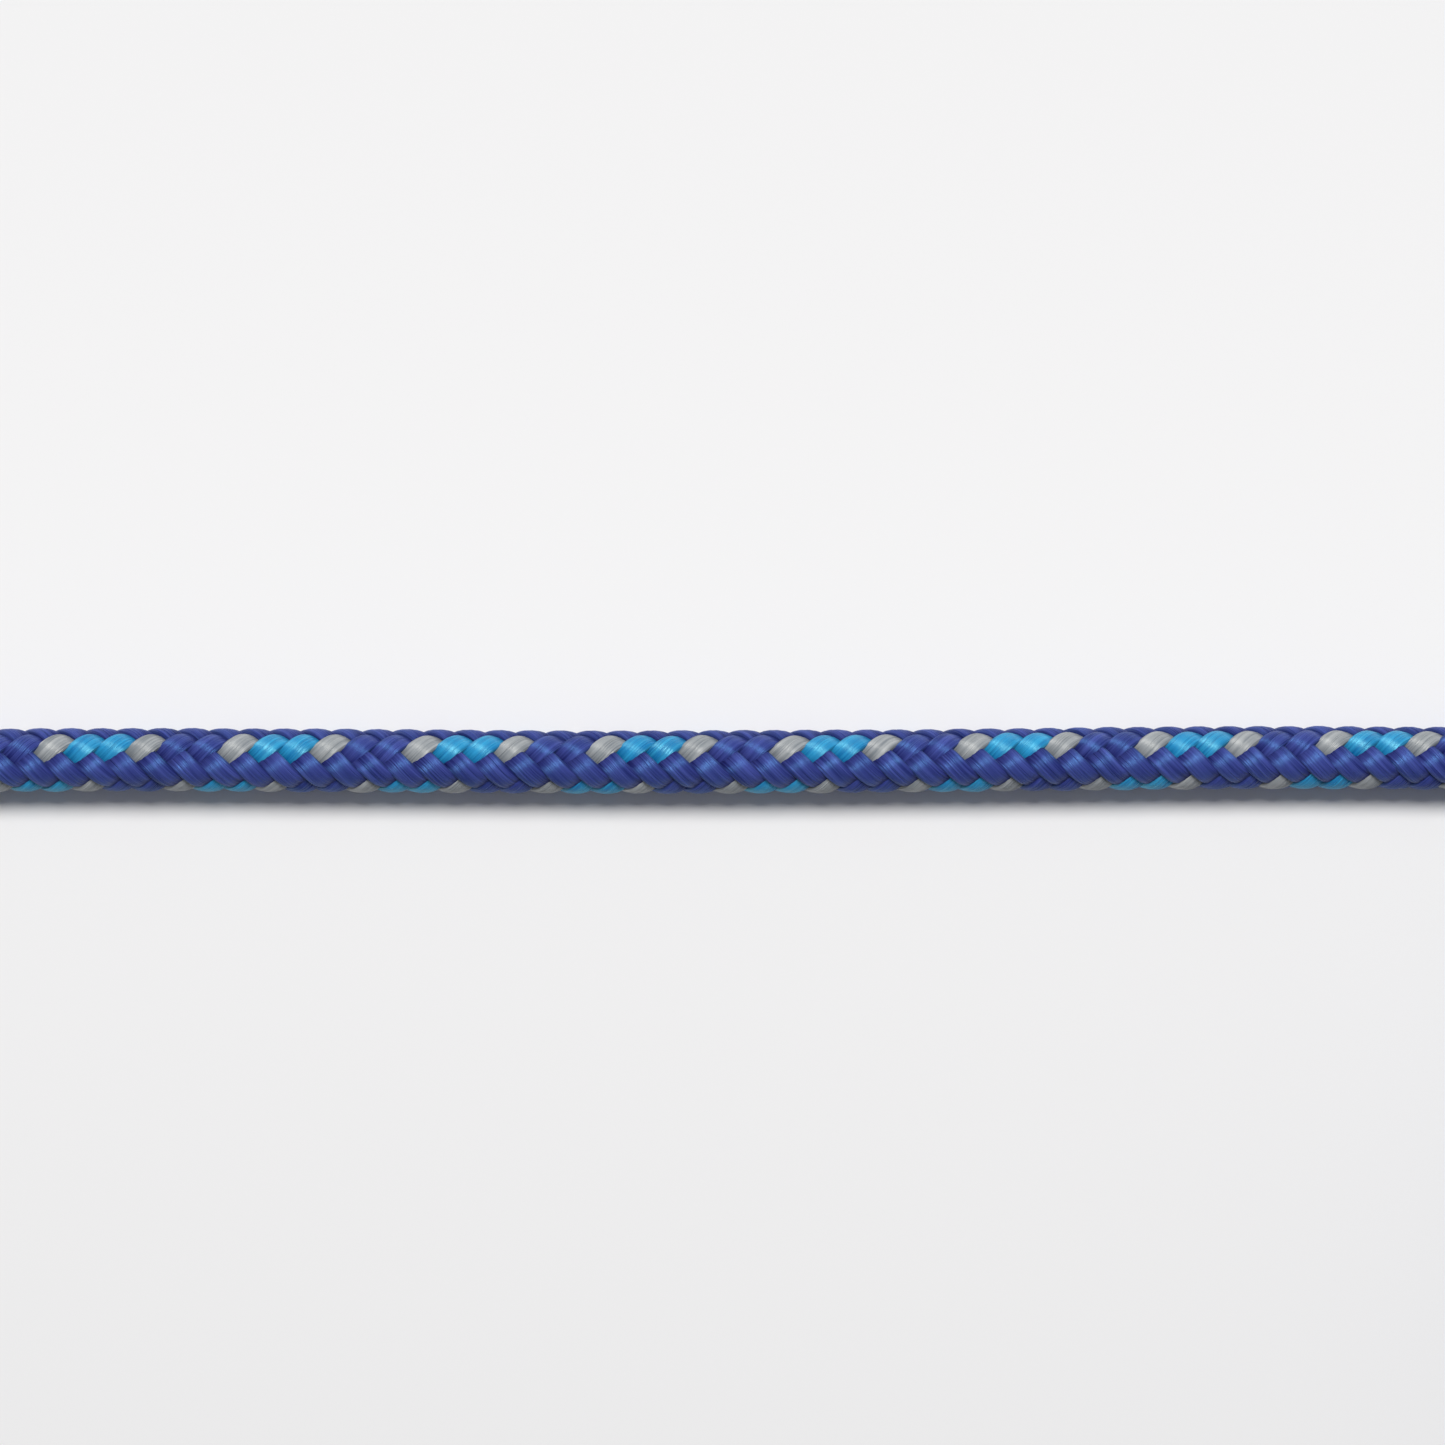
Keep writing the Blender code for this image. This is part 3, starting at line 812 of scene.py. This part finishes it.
def yarn(name, dark, light, shine):
    """Flat, untwisted polyamide filaments, as they come from the spinneret.

    The eye sees fine streaks along each strand, a band of shine across it where it
    arches over, in its own colour, and a shade where it dips under and along its edges,
    which is painted shade in its colour. The tone is the mean of a fine and a broad noise,
    both stretched along the strand, and the painted shade and the gloss follow the cosine
    of its place in the weave.
    """
    made, tree, shader = shader_of(name)
    place = add_node(tree, "ShaderNodeUVMap", uv_map="UVMap")
    filament_scale = across_and_along(FILAMENT_SIZE)
    fine = add_node(tree, "ShaderNodeMapping", {0: place.outputs[0], "Scale": filament_scale})
    filaments = add_node(tree, "ShaderNodeTexNoise", {"Vector": fine.outputs[0], "Scale": 1.0, "Detail": 2.0})
    bundle_scale = across_and_along(BUNDLE_SIZE)
    broad = add_node(tree, "ShaderNodeMapping", {0: place.outputs[0], "Scale": bundle_scale})
    bundles = add_node(tree, "ShaderNodeTexNoise", {"Vector": broad.outputs[0], "Scale": 1.0, "Detail": 1.0})
    both = add_node(tree, "ShaderNodeMath", {0: filaments.outputs[0], 1: bundles.outputs[0]})
    mean = add_node(tree, "ShaderNodeMath", {0: both.outputs[0], 1: 0.5}, operation="MULTIPLY")
    ramp = add_node(tree, "ShaderNodeValToRGB", {"Fac": mean.outputs[0]})
    ramp.color_ramp.elements[0].position = YARN_DARK_UP_TO
    ramp.color_ramp.elements[0].color = srgb(dark)
    ramp.color_ramp.elements[1].position = YARN_LIGHT_FROM
    ramp.color_ramp.elements[1].color = srgb(light)

    # 1 where the strand lies highest, and -1 where it lies lowest.
    apart = add_node(tree, "ShaderNodeSeparateXYZ", {0: place.outputs[0]})
    turned = STRANDS_EACH_WAY / 2 * 2 * math.pi / HELIX_PITCH
    phase = add_node(tree, "ShaderNodeMath", {0: apart.outputs["Y"], 1: turned}, operation="MULTIPLY")
    over = add_node(tree, "ShaderNodeMath", {0: phase.outputs[0]}, operation="COSINE")
    pillow = add_node(tree, "ShaderNodeBump", {"Height": over.outputs[0], "Distance": YARN_PINCH})
    pillow.inputs["Strength"].default_value = 1.0
    bump = add_node(
        tree,
        "ShaderNodeBump",
        {
            "Height": filaments.outputs[0],
            "Strength": 1.0,
            "Distance": FILAMENT_RELIEF,
            "Normal": pillow.outputs[0],
        },
    )

    # Painted shade: the base colour is darkened where the strand goes under and along both its edges, where
    # shade would fall.
    dip = add_node(
        tree,
        "ShaderNodeMapRange",
        {0: over.outputs[0], 1: PAINTED_SHADE_OVER[0], 2: PAINTED_SHADE_OVER[1], 3: PAINTED_SHADE_WHERE_UNDER, 4: 1.0},
    )
    edge = add_node(tree, "ShaderNodeMath", {0: apart.outputs["X"]}, operation="ABSOLUTE")
    rim = add_node(
        tree,
        "ShaderNodeMapRange",
        {0: edge.outputs[0], 1: PAINTED_EDGE_SHADE_FROM, 2: 1.0, 3: 1.0, 4: PAINTED_SHADE_AT_EDGES},
    )
    shade = add_node(tree, "ShaderNodeMath", {0: dip.outputs[0], 1: rim.outputs[0]}, operation="MULTIPLY")
    # The tone times the painted shade.
    colour_with_painted_shade = add_node(
        tree,
        "ShaderNodeVectorMath",
        {0: ramp.outputs[0], "Scale": shade.outputs[0]},
        operation="SCALE",
    )

    # The gloss fades where the strand goes under, and is worn unevenly.
    gloss = add_node(
        tree,
        "ShaderNodeMapRange",
        {0: over.outputs[0], 1: GLOSS_OVER[0], 2: GLOSS_OVER[1], 3: GLOSS_WHERE_UNDER, 4: 1.0},
    )
    patch_scale = across_and_along(WORN_PATCH_SIZE)
    long = add_node(tree, "ShaderNodeMapping", {0: place.outputs[0], "Scale": patch_scale})
    worn = add_node(tree, "ShaderNodeTexNoise", {"Vector": long.outputs[0], "Scale": 1.0, "Detail": 1.0})
    uneven = add_node(
        tree,
        "ShaderNodeMapRange",
        {0: worn.outputs[0], 1: 0.3, 2: 0.7, 3: 1 - GLOSS_UNEVEN, 4: 1 + GLOSS_UNEVEN},
    )
    shown = add_node(
        tree,
        "ShaderNodeMath",
        {0: gloss.outputs[0], 1: uneven.outputs[0]},
        operation="MULTIPLY",
    )
    across = add_node(tree, "ShaderNodeTangent", direction_type="UV_MAP", uv_map="UVMap")
    tree.links.new(colour_with_painted_shade.outputs[0], shader.inputs["Base Color"])
    tree.links.new(bump.outputs[0], shader.inputs["Normal"])
    tree.links.new(across.outputs[0], shader.inputs["Tangent"])
    tree.links.new(shown.outputs[0], shader.inputs["Specular IOR Level"])
    shader.inputs["Roughness"].default_value = YARN_ROUGHNESS
    shader.inputs["IOR"].default_value = YARN_IOR
    shader.inputs["Anisotropic"].default_value = YARN_ANISOTROPY
    shader.inputs["Specular Tint"].default_value = srgb(shine)
    shader.inputs["Sheen Weight"].default_value = YARN_SHEEN
    shader.inputs["Sheen Roughness"].default_value = YARN_SHEEN_ROUGHNESS
    shader.inputs["Sheen Tint"].default_value = srgb(shine)
    return made


def painted_shade_lining(name):
    """The inside of the braid in painted shade: near-black blue that stands in for the shade in the gaps
    between strands.

    A fine noise gives the tone and a little relief.
    """
    made, tree, shader = shader_of(name)
    place = add_node(tree, "ShaderNodeTexCoord")
    noise = add_node(
        tree,
        "ShaderNodeTexNoise",
        {"Vector": place.outputs["Object"], "Scale": 1 / SHADED_FILAMENT_SIZE, "Detail": 2.0},
    )
    # Near-black blues: painted shade.
    ramp = add_node(tree, "ShaderNodeValToRGB", {"Fac": noise.outputs[0]})
    ramp.color_ramp.elements[0].color = srgb("#0E1226")
    ramp.color_ramp.elements[1].color = srgb("#1C2345")
    bump = add_node(
        tree,
        "ShaderNodeBump",
        {"Height": noise.outputs[0], "Strength": 0.4, "Distance": SHADED_FILAMENT_RELIEF},
    )
    tree.links.new(ramp.outputs[0], shader.inputs["Base Color"])
    tree.links.new(bump.outputs[0], shader.inputs["Normal"])
    shader.inputs["Roughness"].default_value = SHADED_YARN_ROUGHNESS
    return made


def shrink_tube(name):
    """Black extruded polyolefin tube, shrunk on: satin, with faint clouding and fine scuffs from handling.

    A broad noise gives the clouds, and a fine one gives the scuffs' roughness and relief.
    """
    made, tree, shader = shader_of(name)
    place = add_node(tree, "ShaderNodeTexCoord")
    cloud = add_node(
        tree,
        "ShaderNodeTexNoise",
        {"Vector": place.outputs["Object"], "Scale": 1 / TUBE_CLOUD_SIZE, "Detail": 4.0},
    )
    ramp = add_node(tree, "ShaderNodeValToRGB", {"Fac": cloud.outputs[0]})
    ramp.color_ramp.elements[0].position = 0.35
    ramp.color_ramp.elements[0].color = srgb("#151517")
    ramp.color_ramp.elements[1].position = 0.75
    ramp.color_ramp.elements[1].color = srgb("#242427")
    scuffs = add_node(
        tree,
        "ShaderNodeTexNoise",
        {"Vector": place.outputs["Object"], "Scale": 1 / TUBE_SCUFF_SIZE, "Detail": 3.0},
    )
    rough = add_node(
        tree,
        "ShaderNodeMapRange",
        {0: scuffs.outputs[0], 1: 0.3, 2: 0.7, 3: TUBE_ROUGHNESS[0], 4: TUBE_ROUGHNESS[1]},
    )
    bump = add_node(
        tree,
        "ShaderNodeBump",
        {"Height": scuffs.outputs[0], "Strength": 0.25, "Distance": TUBE_SCUFF_RELIEF},
    )
    tree.links.new(ramp.outputs[0], shader.inputs["Base Color"])
    tree.links.new(rough.outputs[0], shader.inputs["Roughness"])
    tree.links.new(bump.outputs[0], shader.inputs["Normal"])
    return made


def melted_polyamide(name):
    """Yarns of every colour melted together by a hot knife: dark blue, glassy, with paler swirls.

    A distorted noise gives the swirls and a little relief.
    """
    made, tree, shader = shader_of(name)
    place = add_node(tree, "ShaderNodeTexCoord")
    swirl = add_node(
        tree,
        "ShaderNodeTexNoise",
        {"Vector": place.outputs["Object"], "Scale": 1 / MELT_SWIRL_SIZE, "Detail": 3.0, "Distortion": 1.2},
    )
    ramp = add_node(tree, "ShaderNodeValToRGB", {"Fac": swirl.outputs[0]})
    ramp.color_ramp.elements[0].position = 0.3
    ramp.color_ramp.elements[0].color = srgb("#14142A")
    ramp.color_ramp.elements[1].position = 0.8
    ramp.color_ramp.elements[1].color = srgb("#4F6C9C")
    ramp.color_ramp.elements.new(0.55).color = srgb("#222C62")
    bump = add_node(
        tree,
        "ShaderNodeBump",
        {"Height": swirl.outputs[0], "Strength": 0.5, "Distance": MELT_RELIEF},
    )
    tree.links.new(ramp.outputs[0], shader.inputs["Base Color"])
    tree.links.new(bump.outputs[0], shader.inputs["Normal"])
    shader.inputs["Roughness"].default_value = MELT_ROUGHNESS
    return made


def webbing(name):
    """Dark grey woven polyester webbing: matt, with a herringbone of ribs and the fuzz of spun yarn.

    The ribs are a sine of the distance along the strap, set off by a distance across it
    that is folded back and forth, and the fuzz is a fine noise on top.
    """
    made, tree, shader = shader_of(name)
    place = add_node(tree, "ShaderNodeUVMap", uv_map="UVMap")
    apart = add_node(tree, "ShaderNodeSeparateXYZ", {0: place.outputs[0]})
    fold = add_node(
        tree,
        "ShaderNodeMath",
        {0: apart.outputs["X"], 1: WEBBING_HERRINGBONE},
        operation="PINGPONG",
    )
    along = add_node(tree, "ShaderNodeMath", {0: apart.outputs["Y"], 1: fold.outputs[0]})
    turned = 2 * math.pi / WEBBING_RIB
    phase = add_node(tree, "ShaderNodeMath", {0: along.outputs[0], 1: turned}, operation="MULTIPLY")
    wave = add_node(tree, "ShaderNodeMath", {0: phase.outputs[0]}, operation="SINE")
    fuzz = add_node(
        tree,
        "ShaderNodeTexNoise",
        {"Vector": place.outputs[0], "Scale": 1 / WEBBING_FUZZ_SIZE, "Detail": 2.0},
    )
    height = add_node(
        tree,
        "ShaderNodeMath",
        {0: fuzz.outputs[0], 1: WEBBING_FUZZ, 2: wave.outputs[0]},
        operation="MULTIPLY_ADD",
    )
    # The colour follows the same height: darker in the hollows between ribs, as painted shade, and varied at
    # random by the fuzz.
    share = add_node(tree, "ShaderNodeMapRange", {0: height.outputs[0], 1: -0.6, 2: 1.6})
    ramp = add_node(tree, "ShaderNodeValToRGB", {"Fac": share.outputs[0]})
    ramp.color_ramp.elements[0].color = srgb("#26272A")
    ramp.color_ramp.elements[1].color = srgb("#5B5D62")
    bump = add_node(
        tree,
        "ShaderNodeBump",
        {"Height": height.outputs[0], "Strength": 0.7, "Distance": WEBBING_RELIEF},
    )
    tree.links.new(ramp.outputs[0], shader.inputs["Base Color"])
    tree.links.new(bump.outputs[0], shader.inputs["Normal"])
    shader.inputs["Roughness"].default_value = WEBBING_ROUGHNESS
    return made


def sewing_thread(name):
    """White spun polyester sewing thread: matt, with a faint mottle of fibres from a fine noise."""
    made, tree, shader = shader_of(name)
    place = add_node(tree, "ShaderNodeTexCoord")
    noise = add_node(
        tree,
        "ShaderNodeTexNoise",
        {"Vector": place.outputs["Object"], "Scale": 1 / THREAD_FIBRE_SIZE, "Detail": 1.0},
    )
    ramp = add_node(tree, "ShaderNodeValToRGB", {"Fac": noise.outputs[0]})
    ramp.color_ramp.elements[0].color = srgb("#B9BBBE")
    ramp.color_ramp.elements[1].color = srgb("#E4E5E6")
    tree.links.new(ramp.outputs[0], shader.inputs["Base Color"])
    shader.inputs["Roughness"].default_value = THREAD_ROUGHNESS
    return made


# The picture.


def camera():
    """Looks straight down on the run, with the rope a little below the middle.

    Its lens shows the view's width at the height of the rope's axis.
    """
    start = run_start()
    data = bpy.data.cameras.new("camera")
    data.sensor_width = SENSOR_WIDTH
    data.lens = SENSOR_WIDTH * (CAMERA_HEIGHT - ROPE_RADIUS) / VIEW_WIDTH
    made = bpy.data.objects.new("camera", data)
    made.location = (start[0] + VIEW_FROM_RUN_START, start[1] + VIEW_ABOVE_AXIS, CAMERA_HEIGHT)
    bpy.context.scene.collection.objects.link(made)
    bpy.context.scene.camera = made
    return made


def lamp(name, target, distance, elevation, width, size, energy):
    """An oval soft lamp towards +Y, at that distance and elevation from the target and turned towards it."""
    data = bpy.data.lights.new(name, "AREA")
    data.shape = "ELLIPSE"
    data.size = width
    data.size_y = size
    data.energy = energy
    data.color = LAMP_COLOUR
    made = bpy.data.objects.new(name, data)
    made.location = (
        target[0],
        target[1] + distance * math.cos(elevation),
        distance * math.sin(elevation),
    )
    made.rotation_euler = (elevation - math.pi / 2, 0, 0)
    bpy.context.scene.collection.objects.link(made)


def lights(target):
    """A high soft lamp, and a pale surround whose strength rises evenly towards the lamp's side."""
    lamp("key", target, KEY_DISTANCE, KEY_ELEVATION, KEY_WIDTH, KEY_SIZE, KEY_ENERGY)
    world = bpy.context.scene.world or bpy.data.worlds.new("surround")
    bpy.context.scene.world = world
    world.use_nodes = True
    tree = world.node_tree
    sky = tree.nodes["Background"]
    sky.inputs["Color"].default_value = srgb(SKY_COLOUR)
    place = add_node(tree, "ShaderNodeTexCoord")
    apart = add_node(tree, "ShaderNodeSeparateXYZ", {0: place.outputs["Generated"]})
    strength = add_node(
        tree,
        "ShaderNodeMath",
        {0: apart.outputs["Y"], 1: SKY_TOWARDS_LAMPS, 2: SKY_STRENGTH},
        operation="MULTIPLY_ADD",
    )
    tree.links.new(strength.outputs[0], sky.inputs["Strength"])


def paper():
    """White uncoated backing paper: matt, with painted shade that makes it a little darker away from the
    rope, by a ramp over the view.
    """
    made, tree, shader = shader_of("floor paper")
    place = add_node(tree, "ShaderNodeTexCoord")
    apart = add_node(tree, "ShaderNodeSeparateXYZ", {0: place.outputs["Object"]})
    half_view = VIEW_WIDTH / 2
    share = add_node(tree, "ShaderNodeMapRange", {0: apart.outputs["Y"], 1: -half_view, 2: half_view})
    # Painted light falloff: lightest near the rope, darker towards the view's edges.
    ramp = add_node(tree, "ShaderNodeValToRGB", {"Fac": share.outputs[0]})
    ramp.color_ramp.elements[0].color = srgb("#E8E8E9")
    ramp.color_ramp.elements[1].position = 1.0
    ramp.color_ramp.elements[1].color = srgb("#E9E9EA")
    for position, colour in ((0.37, "#EBEBEC"), (0.5, "#EEEEEF")):
        ramp.color_ramp.elements.new(position).color = srgb(colour)
    tree.links.new(ramp.outputs[0], shader.inputs["Base Color"])
    shader.inputs["Roughness"].default_value = PAPER_ROUGHNESS
    return made


def floor(target):
    """One square of paper under the rope, centred below the camera."""
    mesh = bpy.data.meshes.new("floor")
    reach = FLOOR_REACH
    corners = [(-reach, -reach, 0), (reach, -reach, 0), (reach, reach, 0), (-reach, reach, 0)]
    mesh.from_pydata(corners, [], [(0, 1, 2, 3)])
    mesh.materials.append(paper())
    made = bpy.data.objects.new("floor", mesh)
    made.location = (target[0], target[1], -FLOOR_BELOW_ROPE)
    bpy.context.scene.collection.objects.link(made)


def braid(royal, light, grey):
    """Six strands each way: all royal blue to the left, and four tracers and two royal blue to the right."""
    tracers = [grey, light, light, grey, royal, royal]
    made = []
    for index in range(STRANDS_EACH_WAY):
        made.append(strand(f"right_strand_{index + 1}", 1, index, tracers[index]))
        made.append(strand(f"left_strand_{index + 1}", -1, index, royal))
    return made


def ends_and_tie():
    """The sleeves, tips and strap, each in place of its CAD node."""
    tube = shrink_tube("black shrink tube")
    melt = melted_polyamide("melted polyamide")
    made = {
        "run_end_sleeve": end_sleeve("run_sleeve", SHOULDER_LENGTH, tube),
        "run_sealed_tip": melted_tip("run_melted_tip", 0.0, -1, melt, 1),
        "hank_end_sleeve": end_sleeve("far_sleeve", LENGTH - END_LENGTH, tube),
        "hank_sealed_tip": melted_tip("far_melted_tip", LENGTH, 1, melt, 2),
        "hank_tie": strap(webbing("grey polyester webbing")),
    }
    for node, piece in made.items():
        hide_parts(node)
    return [*made.values(), stitches(sewing_thread("white sewing thread"))]


def main():
    """Makes the picture's camera and cord first, then the ends, the light and the floor."""
    bpy.context.scene.view_settings.view_transform = "Standard"
    eye = camera()
    # The tube under the braid is coloured as painted shade.
    tube, path = lining(painted_shade_lining("shaded inside of the braid"))
    royal = yarn("royal blue polyamide yarn", "#24286F", "#4852A1", "#649DD6")
    light = yarn("light blue polyamide yarn", "#0C70B2", "#32A4D9", "#A0F2F2")
    grey = yarn("grey polyamide yarn", "#7B8289", "#ACB0B3", "#C4C4C0")
    strands = braid(royal, light, grey)
    ends = ends_and_tie()
    inner = [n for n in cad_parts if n.startswith("core_strand")]
    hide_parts("run_sheath", "hank", "marker_thread", *inner)
    lights(eye.location)
    floor(eye.location)


main()
